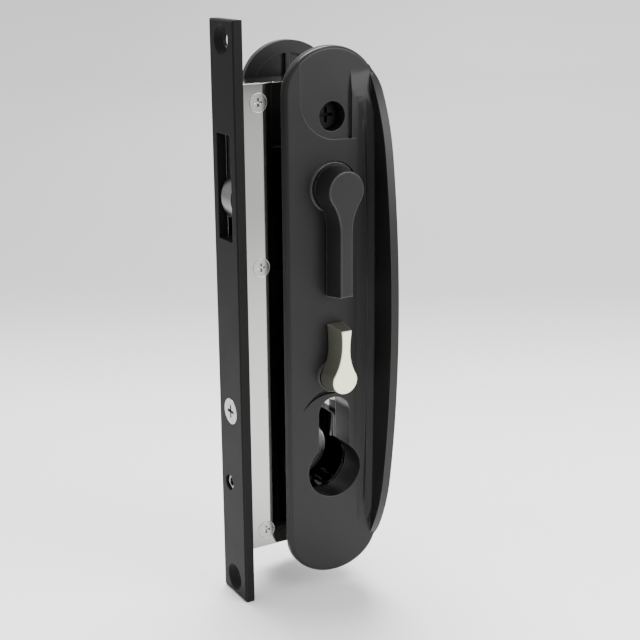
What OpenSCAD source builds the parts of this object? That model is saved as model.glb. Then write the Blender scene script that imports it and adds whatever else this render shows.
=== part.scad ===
// Sliding screen door lock: mortice hook lock with a pull plate, lever and snib.
// X runs into the door from the outer face of the faceplate, Z is up,
// and Y is across the door, with the room side at -Y.

/* [Faceplate] */
// Length of the faceplate
face_len = 178; // [176:1:220]
// Width of the faceplate
face_w = 15; // [14.6:0.2:20]
// Thickness of the faceplate
face_t = 3; // [2.6:0.2:3.4]
// Chamfer round the outer edges of the faceplate
face_chamfer = 0.5; // [0.2:0.1:1]
// Distance from each end of the faceplate to its fixing hole
fix_inset = 5.7; // [5.2:0.1:7]
// Diameter of the fixing holes
fix_bore = 4.8; // [4:0.1:5.4]
// Diameter of the countersinks of the fixing holes
fix_head = 8.8; // [8:0.1:9.6]
// Height of the slot that the hook comes out of
slot_len = 31.2; // [31:0.2:34]
// Width of the slot that the hook comes out of
slot_w = 8.9; // [8:0.1:10]
// Height of the middle of the slot
slot_z = 41.3; // [41:0.1:42]

/* [Case] */
// Height of the lock case
case_len = 142.8; // [142:0.2:150]
// Thickness of the lock case, across the door
case_w = 14; // [13.6:0.2:16]
// Depth of the lock case behind the faceplate
case_depth = 40; // [40:0.2:46]
// Thickness of the two cheeks of the case
cheek_t = 1.5; // [1.2:0.1:1.7]
// Thickness of the walls round the edge of the case
case_wall = 1.5; // [1.2:0.1:1.8]
// Distance of the front row of cover screws from the faceplate
cover_screw_in = 4.85; // [4.6:0.05:5.4]
// Head diameter of the cover screws
cover_head = 5.4; // [5:0.1:5.8]
// Height of the middle cover screw
cover_screw_mid = 17.9; // [10:0.1:18.4]

/* [Hook] */
// Distance of the hook pivot from the outer face
hook_x = 9; // [9:0.1:9.6]
// Height of the hook pivot
hook_z = 38; // [37.8:0.1:38.4]
// Radius of the round nose of the hook
nose_r = 8.7; // [8.2:0.1:8.7]
// Radius of the tip of the hook about its pivot
hook_reach = 19; // [17:0.2:19]
// Thickness of the hook
hook_t = 6; // [5:0.2:7]
// Radius of the hook pin
hook_pin_r = 2.5; // [2:0.1:3]
// Opening between the faceplate and the tip of the thrown hook
hook_throat = 3.6; // [3:0.1:4.4]

/* [Lever] */
// Backset: distance of the lever, snib and key axes from the outer face
backset = 27.7; // [27.6:0.1:29]
// Height of the lever axis
lever_z = 41.1; // [40.8:0.1:41.6]
// Side of the square lever spindle
spindle_sq = 7; // [6:0.1:7.2]
// Radius of the lever hub at its front face
lever_hub_r = 5.8; // [5:0.05:6.2]
// Half of the width of the lever grip at its front face
lever_grip_half = 2.05; // [1.6:0.05:3]
// Length of the lever from its axis to its tip
lever_reach = 31.8; // [26:0.2:36]
// Radius of the fillet between the hub and the grip of the lever
lever_blend = 14.8; // [8:0.2:15]
// Height of the lever from its bush to its front face
lever_h = 7.1; // [6:0.1:9]
// Outward slope of the sides of the lever, over its whole height
lever_draft = 0.75; // [0.6:0.05:1.2]
// Radius of the bush flange under the lever
lever_ring_r = 7.7; // [7.5:0.1:8.4]

/* [Snib] */
// Height of the snib axis
snib_z = -16.4; // [-16.6:0.1:-15]
// Radius of the snib bulb at its face
snib_bulb_r = 4.05; // [3.8:0.05:4.4]
// Half of the width of the neck of the snib at its face
snib_neck_half = 1.35; // [1:0.05:1.8]
// How much wider each side of the snib gets from its neck to its tip
snib_flare = 0.5; // [0.1:0.05:1]
// Length of the snib from its axis to its tip
snib_reach = 15.9; // [14:0.1:16.6]
// Radius of the fillet between the bulb and the neck of the snib
snib_blend = 16.3; // [8:0.1:17]
// Height of the snib from its bush to its front face
snib_h = 6.2; // [5:0.1:8]
// Outward slope of the sides of the snib, over its height at the axis
snib_draft = 0.8; // [0.4:0.05:0.9]
// Rise of the face of the snib for each millimetre towards its tip
snib_rise = 0.06; // [0:0.01:0.1]
// Thickness of the pale face plate on the snib
inlay_t = 0.4; // [0.3:0.1:0.8]
// Side of the square snib spindle
snib_sq = 4; // [3.5:0.1:4.2]
// Distance of the crank pin from the snib axis
crank_r = 4; // [3.8:0.05:4.1]

/* [Cylinder opening] */
// Height of the key axis
key_z = -47.2; // [-49:0.1:-47]
// Radius of the round part of the profile cylinder
key_r = 8.5; // [8.3:0.05:8.6]
// Width of the leg of the profile cylinder
key_leg = 10; // [9.6:0.1:10.2]
// Distance from the key axis to the end of the leg
key_reach = 23.6; // [23.4:0.1:24.2]
// Clearance all round the profile cylinder
key_gap = 0.25; // [0.1:0.05:0.3]
// Distance from the key axis to the cylinder screw
key_screw = 19.7; // [19:0.1:20.5]

/* [Pull plates] */
// Width of the pull plates
plate_w = 30.3; // [30:0.1:32]
// Length of the pull plates
plate_len = 163; // [162:1:170]
// Height of the rounded ends of the pull plates
cap_h = 13.3; // [11:0.1:15]
// Thickness of the door that the plates clamp
door_t = 23.2; // [22:0.2:30]
// Thickness of a plate along its low edge
plate_edge = 2.6; // [2.4:0.1:3.2]
// Rise of the face of a plate from its low edge to the ridge
face_rise = 1.4; // [0.8:0.1:1.8]
// Rise of the ridge above the low edge
ridge_rise = 3; // [2:0.1:3.4]
// Radius of the rounded outer edge of the plates
edge_round = 1.1; // [0.6:0.1:1.4]
// Thickness of the pull fin
fin_t = 2.6; // [2.2:0.1:3.4]
// Height of the pull fin above the low edge
fin_rise = 13.2; // [10:0.2:16]
// Width of the flat ridge beside the fin
ridge_w = 2.1; // [1.6:0.1:3]
// Width of the hollow cove between the face and the ridge
cove_w = 4.4; // [3.4:0.1:5]
// Width of the seating rim under the front plate
front_rim = 2; // [1.6:0.1:3]
// Width of the seating rim under the rear plate
rear_rim = 3.8; // [2.6:0.1:4.2]
// Depth of the hollow under each plate
hollow_d = 1.2; // [0.8:0.1:1.4]
// Height of the plate screw
plate_screw_z = 61.6; // [61:0.1:62]
// Radius of the hole that the plate screw drops into
plate_screw_hole = 4.3; // [4.1:0.05:4.4]

/* [Hidden] */

$fn = 64;
// Steps of a plate's rounded end, and of each arc of a lever outline
CAP_STEPS = 44;
ARC_STEPS = 14;
FLARE_STEPS = 5;
// Angles of the steps round the edge of a plate
EDGE_STEPS = [90, 68, 46, 24, 0];
FLAT_STEPS = [90, 68, 46, 24];
// Depth that a cut runs past the solid it cuts
CUT = 0.1;
// Running clearance of a shaft in its bore, on the radius
RUN = 0.05;
// Clearance between pieces that slide past each other
SLIP = 0.3;

// Case
case_x0 = face_t;
case_x1 = face_t + case_depth;
case_y = case_w / 2;
room_y = case_y - cheek_t;
post_r = 3;
post_wall = 1.5;
screw_r = 1.45;
screw_len = 9;
// Cross slots of the screws: half length, half width, depth
case_cross = [1.3, 0.3, 0.8];
key_cross = [2.1, 0.5, 1.3];
plate_cross = [2.2, 0.45, 1.3];
cover_row = case_x0 + cover_screw_in;
cover_back = case_x1 - case_wall - post_r + 0.6;
cover_end = case_len / 2 - 5.4;
cover_points = [[cover_row, cover_end], [cover_row, cover_screw_mid],
    [cover_row, -cover_end], [cover_back, cover_end], [cover_back, -cover_end]];
tenon = [2, 4, 8];
tenon_z = case_len / 2 - 8;

// Screws through the faceplate
key_screw_z = key_z + key_screw;
key_screw_r = 2.5;
key_screw_head = 4;
key_taper = 0.8;
key_tip_gap = 0.6;
cyl_x0 = backset - key_leg / 2 - key_gap;
grub_y = 2;
grub_z = -51.6;
grub_r = 2.5;
grub_in = 0.7;
grub_len = 5;
grub_hex_r = 1.45;
grub_hex_d = 2.4;

// Claw of the hook, with its edges at these distances from the pivot, and its round nose
claw_back = -6.2;
claw_neck = 3.2;
claw_tip = 8.8;
claw_fillet = 1.5;
nose_arc = [52, 238];
hub_wall = 1.6;
pin_seat = 0.8;
pin_end_gap = 0.1;

// Gear between the follower and the hook
follower_teeth = 18;
hook_teeth = 12;
gear_dx = backset - hook_x;
gear_dz = lever_z - hook_z;
gear_dist = sqrt(gear_dx * gear_dx + gear_dz * gear_dz);
gear_angle = atan2(gear_dz, gear_dx);
gear_mod = 2 * gear_dist / (follower_teeth + hook_teeth);
gear_pressure = 25;
gear_backlash = 0.16;
gear_add = 0.9;
gear_ded = 1.2;
hook_tooth_gaps = 4;
lever_turn = 60;
hook_pitch_r = gear_mod * hook_teeth / 2;
follower_pitch_r = gear_mod * follower_teeth / 2;
gear_y0 = -hook_t / 2;
gear_y1 = hook_t / 2 - SLIP;

// Deadlock
snib_turn = 90;
slide_t = 2.2;
slide_y1 = room_y - SLIP;
slide_y0 = slide_y1 - slide_t;
slide_travel = 2 * crank_r * sin(snib_turn / 2);
lock_r = 12;
lock_floor = 8.8;
nose_half = 2.5;
nose_z = 8;
arm_h = 6;
nose_in = lever_z - lock_floor - 0.5;
nose_out = nose_in - slide_travel;
crank_pin_r = 1.2;
crank_gap = 0.2;
prong_t = 1.4;
hub_disc_r = 5.6;
stub_r = 1.8;
bar_x0 = backset + key_leg / 2 + key_gap + 0.65;
bar_x1 = case_x1 - case_wall - SLIP;
leg_x0 = backset + key_r + key_gap + 0.85;
guide_r = 1.8;
cam_sweep = 15.4;

// Plates: distances from the middle of the door
seat_y = door_t / 2;
low_y = seat_y + plate_edge;
half_w = plate_w / 2;
straight = plate_len / 2 - cap_h;
fin_x1 = backset + half_w;
fin_x0 = fin_x1 - fin_t;
ridge_x0 = fin_x0 - ridge_w;
cove_x0 = ridge_x0 - cove_w;
cove_dip = 0.08;
cove_rise = ridge_rise - face_rise + cove_dip;
cove_r = (cove_w * cove_w + cove_rise * cove_rise) / (2 * cove_rise);
hollow_y = seat_y + hollow_d;
rib_t = 1.3;
rib_z = [-68, 14, 51.5];
boss_wall = 1.8;
slope_x0 = backset - half_w;
slope = face_rise / (cove_x0 - slope_x0);
ridge_hill = [plate_len / 2 - 4, 2000, 122, 56];
fin_hill = [plate_len / 2 - 5, 330, 60, 50];
flat_below = 6.7;
flat_corner = 11.6;
flat_x0 = backset - 10.3;
flat_y = low_y + slope * (flat_x0 - slope_x0) - 0.05;
ring_y = low_y + slope * (backset - slope_x0);

// Crescent groove above the cylinder opening: outer circle less an inner one
groove_x = backset + 1.9;
groove_z = key_z + 13.6;
groove_out_r = 14.3;
groove_in_r = 11.1;
groove_shift = [-3.33, 0.41];
groove_end = backset + 0.6;
groove_start = groove_z + 7;
groove_y = low_y - 0.3;

// Levers: distances from the middle of the door
lever_y0 = ring_y + 0.5;
lever_y1 = lever_y0 + lever_h;
// Rounded front edge of a lever: distance below the front, and inset from the sloping side
LEVER_EDGE = [[0, 0.35], [0.15, 0.1], [0.5, -0.05]];
lever_tip = 0.4;
shank_r = 6.2;
ring_chamfer = 0.35;
sleeve_r = 6.95;
clip_y = 7.5;
clip_t = 0.8;
clip_r = shank_r + 1.4;
clip_mouth = 3;
clip_room_r = clip_r + 0.5;
lever_boss_r = clip_r + 1.6;
groove_r = 5.6;
spindle_fit = spindle_sq + 2 * RUN;
spindle_half = lever_y1 - 2.5;
follower_r = 8;
snib_y0 = ring_y + 0.4;
snib_y1 = snib_y0 + snib_h;
snib_shank_r = 3.4;
snib_sleeve_r = 4.6;
snib_ring_r = 5.5;
inlay_edge = 0.05;
snib_fit = snib_sq + 2 * RUN;
snib_spindle_y0 = snib_y1 - 2.5;
snib_spindle_y1 = -1;
hub_journal_r = 3.6;

// Leaf spring of the levers
spring_post_r = 1.5;
spring_t = 0.5;
spring_wrap = 0.5;
spring_x = backset + follower_pitch_r - gear_ded * gear_mod + SLIP + spring_t / 2 + 0.3;
spring_posts = [lever_z - 12.5, lever_z + 12.5];

// Plate screw
plate_head_r = 3.9;
plate_head_h = 2.4;
plate_bolt_r = 2.5;
plate_floor = case_y + 1.3;
rear_skin = 1.6;
plate_boss_r = plate_screw_hole + boss_wall;

BLACK = [0.16, 0.16, 0.16];
ZINC = [0.74, 0.75, 0.72];
STEEL = [0.62, 0.63, 0.64];
CREAM = [0.93, 0.92, 0.83];

// Prism of a shape drawn in X and Z, between two places across the door
module across(y0, y1) {
    translate([0, y1, 0]) rotate([90, 0, 0]) linear_extrude(y1 - y0) children();
}

// Round bar across the door
module bar(x, z, r, y0, y1) {
    translate([x, y1, z]) rotate([90, 0, 0]) cylinder(r = r, h = y1 - y0);
}

// Cone across the door, with radius r0 at y0 and r1 at y1
module cone_across(x, z, r0, r1, y0, y1) {
    translate([x, y1, z]) rotate([90, 0, 0]) cylinder(r1 = r1, r2 = r0, h = y1 - y0);
}

// Round bar into the door
module bore(y, z, r, x0, x1) {
    translate([x0, y, z]) rotate([0, 90, 0]) cylinder(r = r, h = x1 - x0);
}

// Cone into the door, with radius r0 at x0 and r1 at x1
module bore_cone(y, z, r0, r1, x0, x1) {
    translate([x0, y, z]) rotate([0, 90, 0]) cylinder(r1 = r0, r2 = r1, h = x1 - x0);
}

// Turned piece on the room side, from a profile of [radius, distance from the middle of the door]
module turned(x, z, profile) {
    translate([x, 0, z]) rotate([90, 0, 0]) rotate_extrude() polygon(profile);
}

// Block given by its two far corners
module block(a, b) {
    translate(a) cube(b - a);
}

// Outline in X and Z, set at a place across the door
function flat_at(y, outline) = [for (p = outline) [p[0], y, p[1]]];

// The same, raised towards the room with the slope of a plate's face
function sloped_at(y, outline) = [for (p = outline) [p[0], y - slope * (p[0] - slope_x0), p[1]]];

// Solid through outlines with equal numbers of points, from front to back. Hollow-sided outlines that
// mirror themselves about their middle point are closed by strips from one half to the other.
module loft(sections, halves = false) {
    n = len(sections[0]);
    last = len(sections) - 1;
    points = [for (s = sections) for (p = s) p];
    end = !halves ? [[for (i = [0 : n - 1]) i]]
        : [for (i = [0 : floor(n / 2) - 1]) concat([i, i + 1], i + 2 < n - 1 - i ? [n - 2 - i] : [], [n - 1 - i])];
    front = [for (f = end) [for (i = [len(f) - 1 : -1 : 0]) f[i]]];
    back = [for (f = end) [for (i = f) last * n + i]];
    sides = [for (k = [0 : last - 1]) for (i = [0 : n - 1])
        [k * n + i, k * n + (i + 1) % n, (k + 1) * n + (i + 1) % n, (k + 1) * n + i]];
    polyhedron(points = points, faces = concat(front, sides, back), convexity = 6);
}

// Outline of a pull plate, drawn in by inset all round
function pill(inset) = let (a = half_w - inset, b = cap_h - inset) concat(
    [for (i = [0 : CAP_STEPS]) let (t = 180 * i / CAP_STEPS)
        [backset + a * cos(t), straight + b * sin(t)]],
    [for (i = [0 : CAP_STEPS]) let (t = 180 + 180 * i / CAP_STEPS)
        [backset + a * cos(t), b * sin(t) - straight]]);

// Right half of a lever pointing down: round hub, concave blend, then a grip that may flare
function half_lever(r, w, reach, blend, flare) = let (
    s = sqrt((r + blend) * (r + blend) - (w + blend) * (w + blend)),
    meet = acos(s / (r + blend)),
    steps = flare == 0 ? 1 : FLARE_STEPS) concat(
    [for (i = [0 : steps]) let (u = 1 - i / steps)
        [w + flare * u * u, -s - (reach - s) * u]],
    [for (i = [1 : ARC_STEPS]) let (t = (90 - meet) * i / ARC_STEPS)
        [w + blend - blend * cos(t), -s + blend * sin(t)]],
    [for (i = [1 : 2 * ARC_STEPS - 1]) let (t = -90 + meet + (180 - meet) * i / (2 * ARC_STEPS))
        [r * cos(t), r * sin(t)]]);

// Whole lever outline about [x, z], drawn in by inset; turn is 0 for down and 180 for up
function lever_shape(x, z, turn, r, w, reach, blend, flare, inset) = let (
    right = half_lever(r - inset, w - inset, reach - inset, blend + inset, flare),
    left = [for (i = [len(right) - 1 : -1 : 0]) [-right[i][0], right[i][1]]],
    k = turn == 0 ? 1 : -1)
    [for (p = concat(right, [[0, r - inset]], left)) [x + k * p[0], z + k * p[1]]];

// Profile of the cylinder: round part with a straight leg above it, grown all round
module euro(grow) {
    translate([backset, key_z]) circle(r = key_r + grow);
    w = key_leg / 2 + grow;
    top = key_z + key_reach + grow - w;
    translate([backset - w, key_z]) square([2 * w, top - key_z]);
    translate([backset, top]) circle(r = w);
}

// Square hole or bar across the door
module square_across(z, side, y0, y1) {
    block([backset - side / 2, y0, z - side / 2], [backset + side / 2, y1, z + side / 2]);
}

function involute(a) = tan(a) * 180 / PI - a;

// One gear tooth of involute form, centred on the X axis
module tooth(pitch_r, teeth) {
    base_r = pitch_r * cos(gear_pressure);
    r0 = pitch_r - gear_ded * gear_mod - 0.2;
    r1 = pitch_r + gear_add * gear_mod;
    half = 90 / teeth - gear_backlash / pitch_r * 90 / PI + involute(gear_pressure);
    start = max(base_r, r0 + 0.2);
    flank = [for (i = [0 : 6]) let (r = start + (r1 - start) * i / 6)
        [r, half - involute(acos(min(1, base_r / r)))]];
    right = concat([[r0, flank[0][1]]], flank);
    left = [for (i = [len(right) - 1 : -1 : 0]) right[i]];
    polygon(concat([for (p = right) [p[0] * cos(p[1]), -p[0] * sin(p[1])]],
        [for (p = left) [p[0] * cos(p[1]), p[0] * sin(p[1])]]));
}

// Teeth at the given angles
module teeth_at(pitch_r, teeth, angles) {
    for (a = angles) rotate(a) tooth(pitch_r, teeth);
}

// Pie of a disc between two angles
module pie(r, a0, a1) {
    steps = 8;
    far = 2 * r;
    intersection() {
        circle(r = r);
        polygon(concat([[0, 0]], [for (i = [0 : steps]) let (a = a0 + (a1 - a0) * i / steps)
            [far * cos(a), far * sin(a)]]));
    }
}

// Faceplate

// Cross-section of the faceplate with its outer corners chamfered, over its width or its length
module chamfered(half) {
    polygon([[0, face_chamfer - half], [face_chamfer, -half], [face_t, -half],
        [face_t, half], [face_chamfer, half], [0, half - face_chamfer]]);
}

module faceplate() color(BLACK) difference() {
    intersection() {
        linear_extrude(face_len, center = true)
            chamfered(face_w / 2);
        across(-face_w, face_w) chamfered(face_len / 2);
    }
    for (s = [-1, 1]) {
        fix_z = s * (face_len / 2 - fix_inset);
        sink = (fix_head - fix_bore) / 2;
        bore(0, fix_z, fix_bore / 2, -CUT, face_t + CUT);
        bore_cone(0, fix_z, fix_head / 2 + CUT, fix_bore / 2, -CUT, sink);
        slot = [tenon[0] + 1, tenon[1] / 2 + RUN, tenon[2] / 2 + RUN];
        translate([face_t - tenon[0] - RUN, 0, s * tenon_z]) block([0, -slot[1], -slot[2]], slot);
    }
    block([-CUT, -slot_w / 2, slot_z - slot_len / 2], [face_t + CUT, slot_w / 2, slot_z + slot_len / 2]);
    bore(0, key_screw_z, key_screw_r + RUN, -CUT, face_t + CUT);
    key_sink = key_screw_head - key_screw_r;
    bore_cone(0, key_screw_z, key_screw_head + RUN + CUT, key_screw_r + RUN, -CUT, key_sink);
    bore(grub_y, grub_z, grub_r + RUN, -CUT, face_t + CUT);
}

// Countersunk screw through the faceplate that holds a cylinder; its tip stops short of the opening
module cylinder_screw() color(STEEL) difference() {
    tip = cyl_x0 - key_tip_gap;
    union() {
        bore_cone(0, key_screw_z, key_screw_head, key_screw_r, 0, key_screw_head - key_screw_r);
        bore(0, key_screw_z, key_screw_r, 1, tip - key_taper);
        bore_cone(0, key_screw_z, key_screw_r, key_screw_r - key_taper, tip - key_taper, tip);
    }
    for (a = [0, 90]) translate([0, 0, key_screw_z]) rotate([a, 0, 0])
        block([-CUT, -key_cross[0], -key_cross[1]], [key_cross[2], key_cross[0], key_cross[1]]);
}

module grub_screw() color(STEEL) difference() {
    bore(grub_y, grub_z, grub_r, grub_in, grub_in + grub_len);
    translate([grub_in - CUT, grub_y, grub_z]) rotate([0, 90, 0])
        cylinder(r = grub_hex_r, h = grub_hex_d + CUT, $fn = 6);
}

// Case

// Openings that both cheeks of the case share
module cheek_holes(y0, y1) {
    across(y0, y1) euro(key_gap);
    bar(backset, lever_z, follower_r + RUN, y0, y1);
    bar(backset, plate_screw_z, plate_bolt_r + RUN, y0, y1);
}

// Wall beside the leg of the cylinder, which ends where the cam of the cylinder sweeps
module leg_wall(x, y0, y1) difference() {
    block([x, y0, key_z + key_r], [x + case_wall, y1, key_z + key_reach - 1.4]);
    bar(backset, key_z, cam_sweep, -case_w, case_w);
}

module case_body() color(ZINC) difference() {
    union() {
        difference() {
            block([case_x0, -room_y, -case_len / 2], [case_x1, case_y, case_len / 2]);
            block([case_x0 + case_wall, -room_y - CUT, case_wall - case_len / 2],
                [case_x1 - case_wall, room_y, case_len / 2 - case_wall]);
        }
        for (p = cover_points) bar(p[0], p[1], post_r, -room_y, room_y);
        leg_wall(cyl_x0 - case_wall, -room_y, room_y);
        bar(backset, plate_screw_z, plate_bolt_r + post_wall, -room_y, room_y);
        bar(bar_x0 - SLIP - guide_r, 0, guide_r, -room_y, room_y);
        bar(backset - nose_half - SLIP - guide_r, 17, guide_r, -room_y, room_y);
        for (z = spring_posts) bar(spring_x, z, spring_post_r, -room_y, room_y);
        for (s = [-1, 1]) translate([case_x0 - tenon[0], 0, s * tenon_z])
            block([0, -tenon[1] / 2, -tenon[2] / 2], [tenon[0] + CUT, tenon[1] / 2, tenon[2] / 2]);
    }
    cheek_holes(-case_w, case_w);
    for (p = cover_points) bar(p[0], p[1], screw_r + RUN, -room_y - CUT, screw_len - case_y + 0.5);
    block([case_x0 - CUT, -slot_w / 2, slot_z - slot_len / 2],
        [case_x0 + case_wall + CUT, slot_w / 2, slot_z + slot_len / 2]);
    bore(0, key_screw_z, key_screw_r + RUN, case_x0 - CUT, cyl_x0 + CUT);
    bore(grub_y, grub_z, grub_r + RUN, case_x0 - CUT, case_x0 + case_wall + CUT);
    bar(hook_x, hook_z, hook_pin_r + RUN, room_y - CUT, room_y + pin_seat);
    bar(backset, snib_z, stub_r + RUN, room_y - CUT, case_y + CUT);
}

module case_cover() color(ZINC) difference() {
    union() {
        block([case_x0, -case_y, -case_len / 2], [case_x1, -room_y, case_len / 2]);
        leg_wall(backset + key_leg / 2 + key_gap - CUT, -room_y - CUT, slide_y0 - SLIP);
    }
    cheek_holes(-case_w, 0);
    for (p = cover_points) {
        sink = cover_head / 2 - screw_r - RUN;
        bar(p[0], p[1], screw_r + RUN, -case_w, 0);
        cone_across(p[0], p[1], cover_head / 2 + RUN + CUT, screw_r + RUN, -case_y - CUT, -case_y + sink);
    }
    bar(hook_x, hook_z, hook_pin_r + RUN, -room_y - pin_seat, 0);
    bar(backset, snib_z, hub_journal_r + RUN, -case_w, 0);
}

module case_screws() color(ZINC) for (p = cover_points) difference() {
    union() {
        sink = cover_head / 2 - screw_r;
        cone_across(p[0], p[1], cover_head / 2, screw_r, -case_y, -case_y + sink);
        bar(p[0], p[1], screw_r, -case_y + 0.5, -case_y + screw_len);
    }
    for (a = [0, 90]) translate([p[0], -case_y, p[1]]) rotate([0, a, 0])
        block([-case_cross[0], -CUT, -case_cross[1]], [case_cross[0], case_cross[2], case_cross[1]]);
}

// Hook

// Claw of the hook as it stands when drawn in: pointing up, with its tip turned into the door
module claw() {
    inner = hook_x + hook_throat;
    intersection() {
        circle(r = hook_reach);
        difference() {
            polygon([[claw_back, 0], [claw_back, hook_reach - 1], [claw_back + 1, hook_reach],
                [claw_tip, hook_reach], [claw_tip, inner], [claw_neck, inner - 1], [claw_neck, 0]]);
            translate([claw_neck + claw_fillet, inner - claw_fillet + 0.1]) circle(r = claw_fillet);
        }
    }
}

module hook_bolt() color(STEEL) difference() {
    union() {
        translate([hook_x, 0, hook_z]) across(-hook_t / 2, hook_t / 2) {
            circle(r = hook_pitch_r - gear_ded * gear_mod);
            pie(nose_r, nose_arc[0], nose_arc[1]);
            claw();
            teeth_at(hook_pitch_r, hook_teeth,
                [for (i = [0 : hook_tooth_gaps]) gear_angle + (180 - i * 360) / hook_teeth]);
        }
        bar(hook_x, hook_z, hook_pin_r + hub_wall, -room_y + SLIP / 2, room_y - SLIP / 2);
    }
    bar(hook_x, hook_z, hook_pin_r + RUN, -case_w, case_w);
}

module hook_pin() color(STEEL)
    bar(hook_x, hook_z, hook_pin_r, -room_y - pin_seat + pin_end_gap, room_y + pin_seat - pin_end_gap);

// Follower, spindle and levers

module follower() color(STEEL) difference() {
    union() {
        translate([backset, 0, lever_z]) across(gear_y0, gear_y1) {
            circle(r = follower_pitch_r - gear_ded * gear_mod);
            teeth_at(follower_pitch_r, follower_teeth,
                [for (i = [-1 : hook_tooth_gaps]) 180 + gear_angle + i * 360 / follower_teeth]);
        }
        translate([backset, 0, lever_z]) across(slide_y0, slide_y1) difference() {
            circle(r = lock_r);
            for (a = [270, 270 + lever_turn]) rotate(a)
                translate([lock_floor, -nose_half - SLIP]) square([lock_r, 2 * nose_half + 2 * SLIP]);
        }
        bar(backset, lever_z, follower_r, -case_y, case_y);
    }
    square_across(lever_z, spindle_fit, -case_w, case_w);
}

module spindle() color(STEEL) square_across(lever_z, spindle_sq, -spindle_half, spindle_half);

// Section of the lever at a place across the door, drawn in by inset
function lever_section(y, inset) = flat_at(-y, lever_shape(backset, lever_z, 0,
    lever_hub_r + lever_draft, lever_grip_half + lever_draft, lever_reach + lever_tip,
    lever_blend - lever_draft, 0, inset));

// Lever on the room side, before mirroring to the other
module lever_solid() difference() {
    union() {
        loft(concat([for (e = LEVER_EDGE) lever_section(lever_y1 - e[0], lever_draft + e[1])],
            [lever_section(lever_y0, 0)]), halves = true);
        bar(backset, lever_z, shank_r, -lever_y0 - 0.5, -clip_y - clip_t - RUN);
        bar(backset, lever_z, groove_r, -clip_y - clip_t - 1, -clip_y + 0.2);
        bar(backset, lever_z, shank_r, -clip_y + RUN, -clip_y + 0.3);
    }
    square_across(lever_z, spindle_fit, -spindle_half - 0.1, 0);
}

module front_lever() color(BLACK) lever_solid();
module rear_lever() color(BLACK) mirror([0, 1, 0]) lever_solid();

// Flanged bushes that the levers turn in
module lever_bushes() color(BLACK) for (s = [0, 1]) mirror([0, s, 0])
    turned(backset, lever_z, [[shank_r + RUN, clip_y + clip_t + 0.2], [sleeve_r, clip_y + clip_t + 0.2],
        [sleeve_r, low_y], [lever_ring_r, low_y], [lever_ring_r, ring_y - ring_chamfer],
        [lever_ring_r - ring_chamfer, ring_y], [shank_r + RUN, ring_y]]);

// Spring clips in the grooves of the two levers
module lever_clips() color(STEEL) for (s = [0, 1]) mirror([0, s, 0]) difference() {
    bar(backset, lever_z, clip_r, -clip_y - clip_t, -clip_y);
    bar(backset, lever_z, groove_r + RUN, -case_w, 0);
    block([backset - clip_mouth, -case_w, lever_z], [backset + clip_mouth, 0, lever_z + lever_ring_r]);
}

// Leaf spring beside the follower, curled round two posts of the case
module lever_spring() color(STEEL) {
    half = spring_t / 2;
    difference() {
        across(gear_y0 + 0.5, gear_y1 - 0.5) {
            translate([spring_x - half, spring_posts[0]])
                square([spring_t, spring_posts[1] - spring_posts[0]]);
            for (z = spring_posts) translate([spring_x, z]) circle(r = spring_post_r + RUN + spring_wrap);
        }
        for (z = spring_posts) bar(spring_x, z, spring_post_r + RUN, -case_w, case_w);
    }
}

// Pull plates

// Long hill with an arc on top and end arcs tangent to it, drawn in Z and height from height 0.
// Its form is given as half length, radius of the top, radius of the ends, and where they meet.
module hill(rise, form) {
    half_len = form[0];
    top_r = form[1];
    end_r = form[2];
    meet = form[3];
    drop = top_r - sqrt(top_r * top_r - meet * meet);
    nx = meet / top_r;
    ny = sqrt(1 - nx * nx);
    cx = meet - end_r * nx;
    cy = rise - drop - end_r * ny;
    intersection() {
        translate([-half_len, 0]) square([2 * half_len, rise]);
        union() {
            intersection() {
                translate([0, rise - top_r]) circle(r = top_r, $fn = 360);
                translate([-meet, 0]) square([2 * meet, rise]);
            }
            for (s = [-1, 1]) translate([s * cx, cy]) circle(r = end_r, $fn = 180);
        }
    }
}

// Prism of a shape drawn in Z and height above the low edge, between two places into the door
module along(x0, x1) {
    translate([x0, -low_y, 0]) rotate([90, 0, 90]) linear_extrude(x1 - x0) rotate(90) children();
}

// Cove and ridge of a plate, drawn in X and height above the low edge
module ridge_section() {
    difference() {
        translate([cove_x0, -edge_round]) square([fin_x1 - cove_x0, ridge_rise + edge_round]);
        translate([cove_x0, face_rise - cove_dip + cove_r]) circle(r = cove_r);
    }
}

// Flat area round the plate screw, open to the top and to the fin above the ridge
module screw_flat() {
    floor_z = plate_screw_z - flat_below;
    x0 = flat_x0 + flat_corner;
    translate([x0, floor_z + flat_corner]) circle(r = flat_corner);
    translate([x0, floor_z]) square([ridge_x0 - x0, plate_len]);
    translate([flat_x0, floor_z + flat_corner]) square([plate_w, plate_len]);
}

// What is cut away over that flat, down to a rounded edge of its own
module screw_cut() difference() {
    across(-low_y - ridge_rise - 1, -seat_y - 1) screw_flat();
    loft(concat([for (t = FLAT_STEPS)
        flat_at(edge_round * (1 - sin(t)) - flat_y, pill(edge_round * (1 - cos(t))))],
        [flat_at(-seat_y, pill(-edge_round / 2))]));
}

// Bosses that carry a plate on the case, as a shape in X and Z
module boss_shapes(snib) {
    euro(key_gap + boss_wall);
    translate([backset, plate_screw_z]) circle(r = plate_boss_r);
    translate([backset, lever_z]) circle(r = lever_boss_r);
    if (snib) translate([backset, snib_z]) circle(r = snib_sleeve_r + boss_wall);
}

// Stiffening ribs under a plate
module rib_shapes() {
    translate([backset - rib_t / 2, -plate_len / 2]) square([rib_t, plate_len]);
    for (z = rib_z) translate([backset - half_w, z - rib_t / 2]) square([plate_w, rib_t]);
}

// Plate with a rounded edge and a face that rises towards the fin
module sloped_body() {
    loft(concat([for (t = EDGE_STEPS)
        sloped_at(edge_round * (1 - sin(t)) - low_y, pill(edge_round * (1 - cos(t))))],
        [flat_at(-seat_y, pill(0))]));
}

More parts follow.
